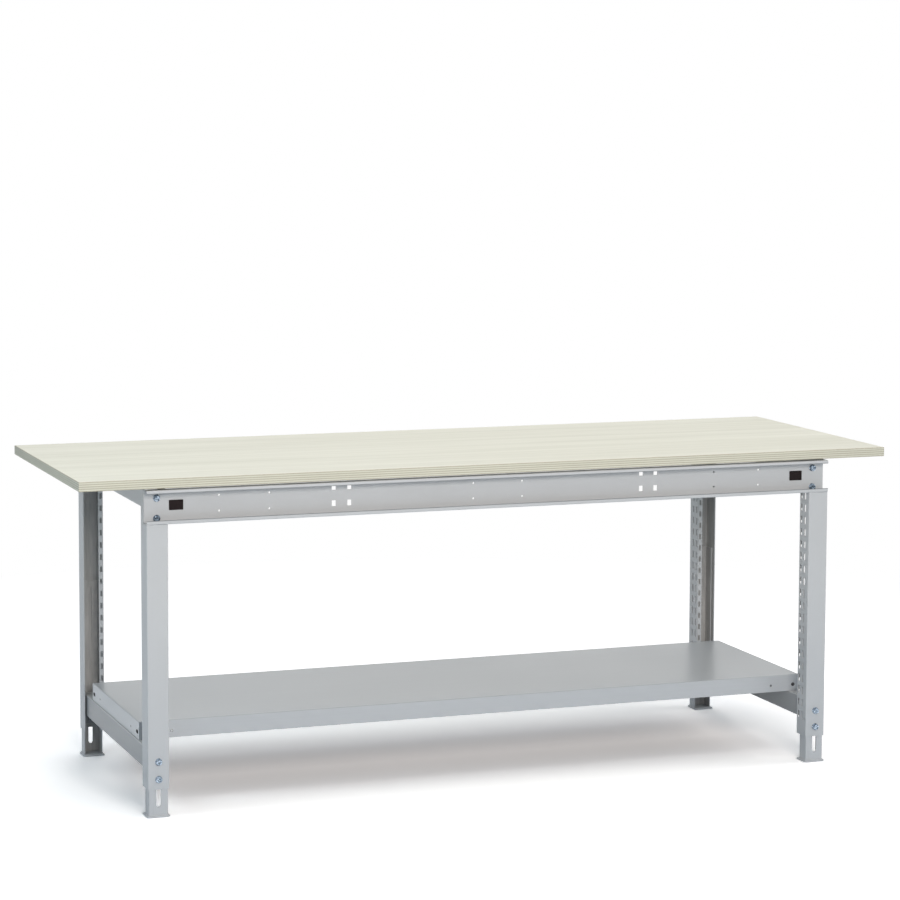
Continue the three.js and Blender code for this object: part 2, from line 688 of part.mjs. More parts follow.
// Stretcher: a channel open below, welded at each end to a plate with two nuts. Its outer side is
// flush with the plates and its inner side keeps clear of the legs' lips.
function stretcherGeometry() {
  const half = STRETCHER_WALL / 2;
  const outline = sheetOutline(
    [
      [END_PLATE_X + half, STRETCHER_BOTTOM],
      [END_PLATE_X + half, STRETCHER_TOP - half],
      [STRETCHER_FAR - half, STRETCHER_TOP - half],
      [STRETCHER_FAR - half, STRETCHER_BOTTOM],
    ],
    STRETCHER_WALL,
    STRETCHER_BEND,
  );
  const weld = END_PLATE_FRONT + END_PLATE / 2;
  const plateLow = CLAMP_LOW - END_PLATE_BELOW;
  const pieces = [alongY(outline, weld, FRAME_DEPTH - weld)];
  const holes = [];
  const top = [STRETCHER_TOP - STRETCHER_WALL - CUT_PAST, STRETCHER_TOP + CUT_PAST];
  for (const end of ENDS) {
    const span = (from, to) => {
      return end.inward > 0 ? [from, to] : [FRAME_DEPTH - to, FRAME_DEPTH - from];
    };
    const plate = span(END_PLATE_FRONT, END_PLATE_BACK);
    pieces.push(box(END_PLATE_X, END_PLATE_X + END_PLATE_WIDTH, ...plate, plateLow, STRETCHER_TOP));
    for (const z of clampHeights()) {
      const nutEnd = END_PLATE_BACK + NUT_HEIGHT;
      const drilled = span(END_PLATE_FRONT - CUT_PAST, nutEnd + CUT_PAST);
      pieces.push(hexY(LEG_MIDDLE, ...span(weld, nutEnd), z, BOLT_HEX));
      holes.push(rodY(LEG_MIDDLE, ...drilled, z, BOLT_HOLE, HOLE_SIDES));
    }
    const [spare] = span(STRETCHER_HOLE_FROM_FACE, STRETCHER_HOLE_FROM_FACE);
    holes.push(rodZ(LEG_MIDDLE, spare, ...top, STRETCHER_HOLE, HOLE_SIDES));
  }
  for (const y of shelfScrewPlaces()) {
    holes.push(rodZ(SHELF_SCREW_X, y, ...top, SCREW_HOLE, HOLE_SIDES));
  }
  return cut(join(...pieces), holes);
}

const crossbar = crossbarGeometry();
const stretcher = stretcherGeometry();
const topScrew = panScrew(CROSSBAR_WALL + 2 * SEAT_GAP + TOP_SCREW_GRIP);
const shelfScrew = panScrew(STRETCHER_WALL + 2 * SEAT_GAP + SHELF_WALL + SHELF_SCREW_PAST);

for (const side of SIDES) {
  const frame = new THREE.Group();
  frame.position.set(side.x * (LEG_SPREAD / 2), FRONT_Y, 0);
  frame.scale.x = -side.x;
  table.add(frame);
  addMesh(frame, `${side.name}_crossbar`, crossbar, COATED_STEEL);
  addMesh(frame, `${side.name}_stretcher`, stretcher, COATED_STEEL);
  topScrewPlaces().forEach((y, i) => {
    const screw = addMesh(frame, `${side.name}_top_screw_${i + 1}`, topScrew, ZINC);
    screw.position.set(TOP_SCREW_X, y, CROSSBAR_TOP - CROSSBAR_WALL - SEAT_GAP);
  });
  shelfScrewPlaces().forEach((y, i) => {
    const screw = addMesh(frame, `${side.name}_shelf_screw_${ENDS[i].name}`, shelfScrew, ZINC);
    screw.position.set(SHELF_SCREW_X, y, STRETCHER_TOP - STRETCHER_WALL - SEAT_GAP);
  });
}

// Shelf: its skin runs from the rim of the opening below, round the returned edge, up the
// outside, over the top, and the same way back along the inside.
function shelfGeometry() {
  const halfX = SHELF_LENGTH / 2;
  const halfY = SHELF_DEPTH / 2;
  const loop = (inset, z) => [halfX - inset, halfY - inset, z];
  const bend = (radius) => {
    return Array.from({ length: BEND_STEPS + 1 }, (_, i) => {
      const angle = (i * Math.PI) / 2 / BEND_STEPS;
      const inset = SHELF_BEND - radius * Math.cos(angle);
      return loop(inset, SHELF_TOP - SHELF_BEND + radius * Math.sin(angle));
    });
  };
  const shell = rectangleSkin([loop(0, SHELF_BOTTOM), ...bend(SHELF_BEND)]);
  const inside = rectangleSkin([
    loop(SHELF_WALL, SHELF_BOTTOM + SHELF_WALL),
    ...bend(SHELF_BEND - SHELF_WALL),
  ]);
  const mouth = rectangleSkin([
    loop(SHELF_RETURN, SHELF_BOTTOM - CUT_PAST),
    loop(SHELF_RETURN, SHELF_BOTTOM + SHELF_WALL + CUT_PAST),
  ]);
  const level = SHELF_BOTTOM + SHELF_HOLE_RISE;
  const cutters = [inside, mouth];
  for (const side of [-1, 1]) {
    const drillY = (x, diameter) => {
      const walls = [side * halfY - SHELF_WALL - CUT_PAST, side * halfY + SHELF_WALL + CUT_PAST];
      cutters.push(rodY(x, ...walls, level, diameter, HOLE_SIDES));
    };
    const drillX = (y, diameter) => {
      const walls = [side * halfX - SHELF_WALL - CUT_PAST, side * halfX + SHELF_WALL + CUT_PAST];
      cutters.push(rodX(...walls, y, level, diameter, HOLE_SIDES));
      return walls;
    };
    const slotX = (y, length, width) => {
      const run = (length - width) / 2;
      const walls = drillX(y - run, width);
      drillX(y + run, width);
      cutters.push(box(...walls, y - run, y + run, level - width / 2, level + width / 2));
    };
    for (const hand of [-1, 1]) {
      drillY(hand * (halfX - SHELF_HOLE_INSET), SHELF_HOLE);
      drillY(hand * (halfX - SHELF_SMALL_INSET), SHELF_SMALL_HOLE);
      slotX(hand * (halfY - SHELF_HOLE_INSET), SHELF_END_SLOT, SHELF_HOLE);
      drillX(hand * (halfY - SHELF_SMALL_INSET), SHELF_SMALL_HOLE);
      const screwX = side * (LEG_SPREAD / 2 - SHELF_SCREW_X);
      const screwY = hand * (halfY - SHELF_SCREW_FROM_EDGE);
      const returned = [SHELF_BOTTOM - CUT_PAST, SHELF_BOTTOM + SHELF_WALL + CUT_PAST];
      cutters.push(rodZ(screwX, screwY, ...returned, SCREW_HOLE, HOLE_SIDES));
    }
  }
  return cut(shell, cutters);
}

// Hat-shaped stiffener under the shelf's sheet, along its middle.
function stiffenerGeometry() {
  const half = SHELF_WALL / 2;
  const top = SHELF_TOP - SHELF_WALL - SEAT_GAP - half;
  const bottom = top - STIFFENER_HEIGHT + SHELF_WALL;
  const wallY = STIFFENER_WIDTH / 2;
  const brimY = wallY + STIFFENER_BRIM;
  const outline = sheetOutline(
    [
      [-brimY, top],
      [-wallY, top],
      [-wallY, bottom],
      [wallY, bottom],
      [wallY, top],
      [brimY, top],
    ],
    SHELF_WALL,
    SHELF_BEND,
  );
  const reach = SHELF_LENGTH / 2 - STIFFENER_FROM_END;
  return alongX(outline, -reach, reach);
}

// Top, with its edges eased and a blind hole for each screw.
function topGeometry() {
  const halfX = TOP_WIDTH / 2;
  const halfY = TOP_DEPTH / 2;
  const panel = rectangleSkin([
    [halfX - TOP_EDGE_BREAK, halfY - TOP_EDGE_BREAK, TOP_UNDERSIDE],
    [halfX, halfY, TOP_UNDERSIDE + TOP_EDGE_BREAK],
    [halfX, halfY, TOP_HEIGHT - TOP_EDGE_BREAK],
    [halfX - TOP_EDGE_BREAK, halfY - TOP_EDGE_BREAK, TOP_HEIGHT],
  ]);
  const bottom = TOP_UNDERSIDE + TOP_SCREW_GRIP + CUT_PAST;
  const holes = [];
  for (const side of SIDES) {
    for (const y of topScrewPlaces()) {
      const x = side.x * (LEG_SPREAD / 2 - TOP_SCREW_X);
      const fromMiddle = FRONT_Y + y - TOP_MIDDLE_Y;
      holes.push(rodZ(x, fromMiddle, TOP_UNDERSIDE - CUT_PAST, bottom, SCREW_HOLE, HOLE_SIDES));
    }
  }
  return cut(panel, holes);
}

const shelf = addMesh(table, "shelf", shelfGeometry(), SHELF_STEEL);
const stiffener = addMesh(table, "shelf_stiffener", stiffenerGeometry(), SHELF_STEEL);
const top = addMesh(table, "tabletop", topGeometry(), WOOD);
for (const piece of [shelf, stiffener, top]) {
  piece.position.y = TOP_MIDDLE_Y;
}

export default table;
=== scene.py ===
"""Looks of an assembly table: coated sheet steel, a plywood top, zinc fasteners and black plugs.

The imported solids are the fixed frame. Fasteners, cover plugs, base plates and weld beads are
worked out here as surfaces, in metres, in the same frame.
"""

import math

import bpy
import numpy as np
from bpy.props import FloatProperty, FloatVectorProperty, IntProperty, PointerProperty
from mathutils import Matrix, Vector


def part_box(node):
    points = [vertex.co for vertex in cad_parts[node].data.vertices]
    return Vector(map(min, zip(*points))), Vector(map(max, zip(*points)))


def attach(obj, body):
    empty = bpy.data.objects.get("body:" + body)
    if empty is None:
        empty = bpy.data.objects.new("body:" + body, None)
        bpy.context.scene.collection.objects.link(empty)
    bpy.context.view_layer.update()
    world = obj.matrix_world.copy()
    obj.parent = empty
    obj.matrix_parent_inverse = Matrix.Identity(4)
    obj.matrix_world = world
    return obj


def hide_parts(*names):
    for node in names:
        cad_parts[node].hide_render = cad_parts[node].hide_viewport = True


bl_info = {
    "name": "Assembly table looks",
    "version": (1, 0, 0),
    "blender": (4, 5, 0),
    "location": "View3D > Sidebar > Table",
    "description": "Finishes, fasteners and stage for an assembly table",
    "category": "Object",
}

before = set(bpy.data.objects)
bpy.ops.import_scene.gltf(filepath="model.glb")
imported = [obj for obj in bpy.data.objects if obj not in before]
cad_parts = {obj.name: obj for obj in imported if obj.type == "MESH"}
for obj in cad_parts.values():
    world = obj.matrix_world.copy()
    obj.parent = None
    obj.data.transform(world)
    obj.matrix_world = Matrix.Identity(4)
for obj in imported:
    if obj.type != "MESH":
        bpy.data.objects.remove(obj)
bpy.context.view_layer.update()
CORNERS = ("front_left", "front_right", "rear_left", "rear_right")
TURN = 2 * math.pi
ROUND_SIDES = 48  # sides of a bolt or screw
BEAD_SIDES = 10  # sides of a weld bead
BEAD_STEPS = 60  # rings along a straight stretch of a bead
RIM_FADE = (0.0004, 0.0009)  # from a hole's edge to where its dark rim of painted shade starts to fade and where it ends
LAMPS = (  # name, place, aim, size in metres, power in watts and colour
    ("overhead", (0.2, -0.2, 3.6), (0, 0, 0.5), 3.0, 38, (1.0, 0.975, 0.945)),
    ("front", (-0.6, -4.9, 2.1), (0, 0, 0.5), 2.0, 140, (1.0, 0.965, 0.925)),
    ("left", (-1.9, -0.4, 1.35), (-1, 0, 0.75), 0.5, 3.6, (0.80, 0.93, 1.0)),
    ("right", (3.8, -0.5, 1.7), (0.4, 0, 0.4), 1.6, 20, (1.0, 0.985, 0.965)),
    ("rear", (0.9, 4.7, 2.6), (0, 0, 0.5), 2.0, 54, (1.0, 0.975, 0.95)),
)


def colour(name, description, default):
    """A colour property whose default is written as it shows on a screen."""
    return FloatVectorProperty(
        name=name, description=description, default=default, subtype="COLOR_GAMMA", size=3, min=0, max=1
    )


def length(name, description, default):
    """A length property, in metres."""
    return FloatProperty(name=name, description=description, default=default, unit="LENGTH", min=0)


def number(name, description, default):
    """A property without a unit."""
    return FloatProperty(name=name, description=description, default=default)


def angle(name, description, degrees):
    """An angle property whose default is written in degrees."""
    return FloatProperty(name=name, description=description, default=math.radians(degrees), subtype="ANGLE")


class TableFinishes(bpy.types.PropertyGroup):
    """Colours of the table's surfaces."""

    coat: colour("Coat", "Light grey coat of the frame", (0.776, 0.772, 0.772))
    # Painted shade: the coat is darker and cooler near the floor, where less light falls.
    coat_low_shaded: colour("Coat, low", "The same coat near the floor", (0.738, 0.742, 0.752))
    # Partly a thinner, duller coat, partly painted shade: the darker tone inside the legs and feet.
    coat_inside_shaded: colour("Coat, inside", "Thin, dull coat inside legs and feet", (0.755, 0.745, 0.735))
    # This dark grey paints shadow lines along the rails' lips and under their noses and streaks of painted
    # shade inside the legs and feet; on the sliding feet it marks real rub wear.
    dust_and_shade: colour("Dust", "Dust along the lips of the rails", (0.33, 0.34, 0.35))
    shelf: colour("Shelf", "Satin coat of the shelf", (0.73, 0.735, 0.745))
    # Painted shade: the shelf's underside and narrow rings round its holes are near black so that the holes
    # read dark.
    shelf_inside_shade: colour("Shelf, inside", "Dark primer under the shelf", (0.17, 0.17, 0.18))
    zinc: colour("Zinc", "Plating of bolts and screws", (0.72, 0.78, 0.84))
    # Painted reflection: these dark crystals stand in for the dark reflections on the bolts.
    zinc_dark: colour("Zinc, dark", "Darker crystals in the plating", (0.20, 0.27, 0.34))
    plug: colour("Plugs", "Black plastic of the cover plugs", (0.115, 0.085, 0.085))
    veneer: colour("Veneer", "Face of the plywood top", (0.945, 0.93, 0.87))
    veneer_grain: colour("Veneer grain", "Darker grain in the top's face", (0.87, 0.855, 0.785))
    ply_light: colour("Light ply", "Plies cut along their grain", (0.875, 0.86, 0.79))
    ply_dark: colour("Dark ply", "Plies cut across their grain", (0.77, 0.735, 0.655))


class TableSheet(bpy.types.PropertyGroup):
    """Sizes of the bent sheet, as drawn in the solids."""

    wall: length("Wall", "Thickness of the legs and feet", 0.002)
    shelf_wall: length("Shelf wall", "Thickness of the shelf", 0.0012)
    hole: length("Shelf hole", "Diameter of the shelf's corner holes", 0.008)
    end_slot: length("End slot", "Length of the corner holes in the shelf's ends", 0.018)
    hole_inset: length("Shelf hole inset", "From the shelf's corners to its corner holes", 0.0165)
    small_hole: length("Small hole", "Diameter of the shelf's small holes", 0.004)
    small_hole_inset: length("Small hole inset", "From the shelf's corners to its small holes", 0.077)
    hole_rise: length("Hole rise", "From the shelf's lower edge to its holes", 0.016)
    bend: length("Stretcher bend", "Outer radius of the stretchers' bends", 0.003)
    rail_lip: length("Rail lip", "Height of the rails' upturned lip", 0.009)
    rail_nose: length("Rail nose", "Height of the rails' downturned nose", 0.0075)
    plies: IntProperty(name="Plies", description="Plies in the top", default=9, min=3)


class TableFasteners(bpy.types.PropertyGroup):
    """Sizes of the fasteners, as drawn in the solids."""

    hex_flats: length("Hexagon", "Across the flats of a bolt's head", 0.013)
    hex_height: length("Hexagon height", "Height of a bolt's hexagon", 0.0053)
    flange: length("Flange", "Diameter of a bolt's flange", 0.0165)
    flange_height: length("Flange height", "Height of a bolt's flange", 0.0015)
    bolt: length("Bolt", "Diameter of a bolt's thread", 0.008)
    bolt_pitch: length("Bolt pitch", "Pitch of a bolt's thread", 0.00125)
    screw_head: length("Screw head", "Diameter of a screw's head", 0.010)
    screw_head_height: length("Screw head height", "Height of a screw's head", 0.003)
    screw: length("Screw", "Diameter of a screw's thread", 0.005)
    screw_pitch: length("Screw pitch", "Pitch of a screw's thread", 0.0016)
    bolt_turn: number("Bolt turn", "How far each bolt is turned on from the one before, in radians", 0.9)


class TableDetails(bpy.types.PropertyGroup):
    """Sizes of the moulded plugs, the pressed base plates and the weld beads."""

    plug_corner: length("Plug corner", "Radius of a plug's corners", 0.0015)
    plug_face: length("Plug face", "Thickness of a plug's face", 0.0012)
    plug_border: length("Plug border", "Width of the border round the dish in a plug's face", 0.0031)
    plug_dish: length("Plug dish", "Depth of the dish in a plug's face", 0.0004)
    plug_step: length("Plug step", "How far a plug's body stands back from its face's edge", 0.0023)
    plate_corner: length("Plate corner", "Radius of a base plate's corners", 0.006)
    foot_bead: length("Foot bead", "Radius of the bead round a foot", 0.0016)
    bar_bead: length("Crossbar bead", "Radius of the bead at a crossbar's end", 0.0018)
    bar_bead_trim: length("Crossbar bead trim", "From a crossbar's edges to the ends of its bead", 0.004)
    bead_ripple: number("Bead ripple", "Share by which a bead swells and thins", 0.12)


class TableStage(bpy.types.PropertyGroup):
    """Camera, lamps and floor."""

    camera_place: FloatVectorProperty(
        name="Camera",
        description="Where the camera stands",
        default=(-2.4002, -6.5396, 1.6344),
        subtype="XYZ",
        unit="LENGTH",
    )
    camera_yaw: angle("Yaw", "Turn from the table's depth towards its right end", 20.132)
    camera_pitch: angle("Pitch", "How far the camera looks down", 5.372)
    camera_roll: angle("Roll", "Tilt of the picture", 0.223)
    focal: number("Focal length", "In millimetres on a 36 mm sensor", 115.26)
    shift: number("Shift", "Vertical shift of the picture", -0.1)
    ambient: number("Ambient", "Strength of the light from all round", 0.34)
    ambient_tint: colour("Ambient tint", "Colour of the light from all round", (0.90, 0.96, 1.0))
    floor: colour("Floor", "Colour of the pale floor", (0.95, 0.95, 0.95))
    floor_bounce: colour("Floor bounce", "Colour of the light that the floor throws back", (0.80, 0.85, 0.89))
    floor_gain: number("Floor gain", "How much paler the floor looks than it is", 1.85)


def linear(shown):
    """Light of a colour as it shows on a screen, with alpha: ((c + 0.055) / 1.055) ** 2.4 above the toe."""
    c = np.asarray(shown, float)
    light = np.where(c <= 0.04045, c / 12.92, ((c + 0.055) / 1.055) ** 2.4)
    return (*light, 1.0)


class Nodes:
    """A node tree under construction: node() adds a node and fills its inputs with values or links.
    The other methods add one kind of node each and hand back the socket that carries its result."""

    def __init__(self, tree):
        self.tree = tree
        tree.nodes.clear()

    def node(self, kind, inputs=None, **settings):
        made = self.tree.nodes.new("ShaderNode" + kind)
        for key, value in settings.items():
            setattr(made, key, value)
        for key, value in (inputs or {}).items():
            self.feed(made.inputs[key], value)
        return made

    def feed(self, socket, value):
        if isinstance(value, bpy.types.NodeSocket):
            self.tree.links.new(value, socket)
        else:
            socket.default_value = value

    def math(self, operation, a, b=0.0, c=0.0):
        return self.node("Math", {0: a, 1: b, 2: c}, operation=operation).outputs[0]

    def place(self, scale=(1, 1, 1)):
        """Object coordinates, stretched."""
        where = self.node("TexCoord").outputs["Object"]
        return self.node("Mapping", {"Vector": where, "Scale": scale}).outputs[0]

    def split(self, vector):
        return self.node("SeparateXYZ", {0: vector}).outputs

    def grey(self, value):
        return self.node("CombineColor", {0: value, 1: value, 2: value}).outputs[0]

    def seen(self):
        """1 for rays that show a surface to the camera, straight, in a mirror or through glass."""
        path = self.node("LightPath").outputs
        direct = self.math("MAXIMUM", path["Is Camera Ray"], path["Is Glossy Ray"])
        return self.math("MAXIMUM", direct, path["Is Transmission Ray"])

    def noise(self, where, scale, detail=3.0, roughness=0.55):
        inputs = {"Vector": where, "Scale": scale, "Detail": detail, "Roughness": roughness}
        return self.node("TexNoise", inputs).outputs[0]

    def between(self, value, low, high, to_low, to_high):
        inputs = {"Value": value, "From Min": low, "From Max": high, "To Min": to_low, "To Max": to_high}
        return self.node("MapRange", inputs).outputs[0]

    def mix(self, share, a, b, blend="MIX"):
        made = self.node("Mix", data_type="RGBA", blend_type=blend)
        for key, value in ((0, share), (6, a), (7, b)):
            self.feed(made.inputs[key], value)
        return made.outputs[2]

    def bump(self, height, strength, distance):
        return self.node("Bump", {"Height": height, "Strength": strength, "Distance": distance}).outputs[0]


class Material(Nodes):
    def __init__(self, name):
        self.material = bpy.data.materials.new(name)
        self.material.use_nodes = True
        super().__init__(self.material.node_tree)

    def finish(self, inputs):
        return self.shaded(self.node("BsdfPrincipled", inputs))

    def shaded(self, shader):
        self.node("OutputMaterial", {"Surface": shader.outputs[0]})
        return self.material


def scaled(light, factor):
    """A colour of light made stronger or weaker, up to full light."""
    return (*(min(1.0, c * factor) for c in light[:3]), 1.0)


def mirrored_ranges(node, twin):
    """Ranges of |x| and of |y - middle| shared by four pieces that mirror each other, and that middle.
    The node is on the front right and its twin on the rear right."""
    low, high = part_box(node)
    middle = (low.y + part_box(twin)[1].y) / 2
    return (low.x, high.x), (middle - high.y, middle - low.y), middle


def inside_channel(m, where, ranges, wall):
    """1 within a channel and 0 on its outer skin, by the least distance to the ends of its ranges."""
    (near_u, far_u), (near_v, far_v), middle = ranges
    x, y, _ = m.split(where)
    u = m.math("ABSOLUTE", x)
    v = m.math("ABSOLUTE", m.math("SUBTRACT", y, middle))
    across = m.math("MINIMUM", m.math("SUBTRACT", far_u, u), m.math("SUBTRACT", u, near_u))
    deep = m.math("MINIMUM", m.math("SUBTRACT", far_v, v), m.math("SUBTRACT", v, near_v))
    return m.between(m.math("MINIMUM", across, deep), 0.6 * wall, 0.9 * wall, 0.0, 1.0)


def lip_lines(m, where, ranges, heights, wall):
    """1 along the free edges of a rail's lips, which stand at the given heights on its outermost skin; the
    rail's coat paints shadow lines there as painted shade.
    """
    _, y, z = m.split(where)
    v = m.math("ABSOLUTE", m.math("SUBTRACT", y, ranges[2]))
    outermost = m.between(m.math("SUBTRACT", ranges[1][1], v), wall, 1.3 * wall, 1.0, 0.0)
    lines = 0.0
    for height in heights:
        off = m.math("ABSOLUTE", m.math("SUBTRACT", z, height))
        lines = m.math("MAXIMUM", lines, m.between(off, 0.3 * wall, 0.9 * wall, 1.0, 0.0))
    return m.math("MULTIPLY", outermost, lines)


def coat_material(name, finishes, roughness, shade=1.0, inside=None, lip_shade=None, pale=None, sliding=False):
    """Sprayed coat: orange peel, a fine speckle, faint clouding and painted shade, a tone that grows darker
    and cooler towards the floor.
    inside, the lip-line function and pale are functions of (material, place) for the share of a thinner,
    duller coat with painted shade in channels, of painted shadow lines along the rails' lips and of a painted
    highlight along top edges. The shade darkens the whole coat, as painted shade.
    A sliding piece also carries upright rub marks."""
    m = Material(name)
    here = m.place()
    cloud = m.noise(here, 5.0, 4.0)
    speckle = m.noise(here, 1400.0, 2.0)
    peel = m.noise(here, 420.0, 2.0, 0.5)
    height = m.split(here)[2]
    # Painted shade: the coat grows darker and cooler towards the floor.
    base = m.mix(m.between(height, 0.0, 0.5, 0.0, 1.0), linear(finishes.coat_low_shaded), linear(finishes.coat))
    gloss = m.between(cloud, 0.2, 0.8, roughness - 0.05, roughness + 0.05)
    if inside:
        # Inside the legs' and feet's channels: a thinner, duller coat with painted shade, darkened further in
        # streaks of dark grey.
        thin_coat_and_shade = inside(m, here)
        streaks = m.noise(m.place((160, 160, 14)), 1.0, 4.0, 0.6)
        streaked = m.between(streaks, 0.3, 0.7, 0.0, 0.3)
        inside_shade_tone = m.mix(streaked, linear(finishes.coat_inside_shaded), linear(finishes.dust_and_shade))
        base = m.mix(thin_coat_and_shade, base, inside_shade_tone)
        gloss = m.math("MULTIPLY_ADD", thin_coat_and_shade, 0.2, gloss)
    # Painted highlight: a paler coat along the given edges.
    if pale:
        base = m.mix(pale(m, here), base, scaled(linear(finishes.coat), 1.6))
    # Painted shadow: dark lines along the rails' lips and under their noses.
    if lip_shade:
        base = m.mix(m.math("MULTIPLY", lip_shade(m, here), 0.75), base, linear(finishes.dust_and_shade))
    fine = m.between(speckle, 0.35, 0.65, -0.02, 0.02)
    # A shade below 1 darkens the whole coat as painted shade.
    tone = m.math("ADD", m.between(cloud, 0.25, 0.75, 0.965 * shade, 1.02 * shade), fine)
    base = m.mix(1.0, base, m.grey(tone), "MULTIPLY")
    if sliding:
        marks = m.noise(m.place((900, 900, 9)), 1.0, 3.0, 0.6)
        rubbed = m.between(marks, 0.62, 0.72, 0.0, 0.22)
        base = m.mix(rubbed, base, linear(finishes.dust_and_shade))
        gloss = m.math("SUBTRACT", gloss, m.math("MULTIPLY", rubbed, 0.5))
    return m.finish(
        {
            "Base Color": base,
            "Roughness": gloss,
            "Normal": m.bump(peel, 0.12, 0.0004),
            "Specular IOR Level": 0.45,
        }
    )


def inside_tray(m, where, low, high, wall):
    """1 under a tray turned upside down and 0 on its outer skin, by the least distance to that skin."""
    x, y, z = m.split(where)
    least = m.math("SUBTRACT", high.z, z)
    for value, start, end in ((x, low.x, high.x), (y, low.y, high.y)):
        least = m.math("MINIMUM", least, m.math("SUBTRACT", value, start))
        least = m.math("MINIMUM", least, m.math("SUBTRACT", end, value))
    return m.between(least, 0.6 * wall, 0.9 * wall, 0.0, 1.0)


def hole_rims(m, where, low, high, inset, rise, radius, run):
    """1 at the rims of holes that sit at one inset from the corners of all four sides, at one rise: the
    lesser of the distances from a hole's middle measured along the long and along the short sides. In
    the short sides the holes are slots whose middle line reaches run to either side. The shelf's coat
    paints these rims near black as painted shade."""
    x, y, z = m.split(where)
    up = m.math("SUBTRACT", z, low.z + rise)
    least = 1.0
    for value, start, end, reach in ((x, low.x, high.x, 0.0), (y, low.y, high.y, run)):
        off = m.math("ABSOLUTE", m.math("SUBTRACT", value, (start + end) / 2))
        off = m.math("ABSOLUTE", m.math("SUBTRACT", off, (end - start) / 2 - inset))
        off = m.math("MAXIMUM", m.math("SUBTRACT", off, reach), 0.0)
        squares = m.math("ADD", m.math("MULTIPLY", off, off), m.math("MULTIPLY", up, up))
        least = m.math("MINIMUM", least, m.math("SQRT", squares))
    fade_start, fade_end = RIM_FADE
    return m.between(least, radius + fade_start, radius + fade_end, 1.0, 0.0)


def shelf_material(finishes, low, high, sheet):
    """Smooth satin coat on rolled sheet: long faint rolling marks, slow clouding and a fine peel. The
    underside and narrow rings round the holes are painted near black as painted shade, so the holes read
    dark."""
    m = Material("shelf_coat")
    here = m.place()
    rolled = m.noise(m.place((1.2, 260, 260)), 1.0, 4.0, 0.6)
    cloud = m.noise(here, 3.0, 1.0)
    peel = m.noise(here, 380.0, 2.0, 0.5)
    base = linear(finishes.shelf)
    worn = m.mix(m.between(rolled, 0.2, 0.8, 0.0, 0.35), base, scaled(base, 0.84))
    worn = m.mix(m.between(cloud, 0.0, 1.0, 0.0, 0.4), worn, scaled(base, 1.08))
    # Painted shade: the underside and the rims of the holes go near black.
    dark_shade_inside = inside_tray(m, here, low, high, sheet.shelf_wall)
    corner_hole = (sheet.hole_inset, sheet.hole, (sheet.end_slot - sheet.hole) / 2)
    small_hole = (sheet.small_hole_inset, sheet.small_hole, 0.0)
    for inset, size, run in (corner_hole, small_hole):
        rim = hole_rims(m, here, low, high, inset, sheet.hole_rise, size / 2, run)
        dark_shade_inside = m.math("MAXIMUM", dark_shade_inside, rim)
    return m.finish(
        {
            "Base Color": m.mix(dark_shade_inside, worn, linear(finishes.shelf_inside_shade)),
            "Roughness": m.between(cloud, 0.0, 1.0, 0.24, 0.36),
            "Normal": m.bump(peel, 0.05, 0.0003),
            "Specular IOR Level": 0.6,
        }
    )


def zinc_material(finishes):
    """Bright plating: crystals of slightly different tone, fine turning marks and a few dull spots. The dark
    crystals also stand in for the dark reflections on the bolts, as painted reflection.
    """
    m = Material("zinc_plating")
    here = m.place()
    crystals = m.node("TexVoronoi", {"Vector": here, "Scale": 420.0}).outputs["Color"]
    grain = m.node("SeparateColor", {0: crystals}).outputs[0]
    dull = m.noise(here, 260.0, 3.0)
    base = linear(finishes.zinc)
    # Painted reflection: the dark crystals stand in for dark reflections.
    tone = m.mix(m.between(grain, 0.1, 0.9, 0.0, 0.9), base, linear(finishes.zinc_dark))
    return m.finish(
        {
            "Base Color": tone,
            "Metallic": 1.0,
            "Roughness": m.between(dull, 0.3, 0.7, 0.14, 0.30),
            "Normal": m.bump(m.noise(here, 2600.0, 2.0), 0.08, 0.0002),
        }
    )


def plug_material(finishes):
    """Moulded plastic with a fine spark-eroded texture and a slow change of gloss."""
    m = Material("plug_plastic")
    here = m.place()
    texture = m.noise(here, 2200.0, 3.0, 0.6)
    slow = m.noise(here, 60.0, 2.0)
    base = linear(finishes.plug)
    return m.finish(
        {
            "Base Color": m.mix(m.between(slow, 0.3, 0.7, 0.0, 1.0), base, scaled(base, 1.35)),
            "Roughness": m.between(texture, 0.3, 0.7, 0.38, 0.55),
            "Normal": m.bump(texture, 0.25, 0.0002),
            "Specular IOR Level": 0.15,
        }
    )


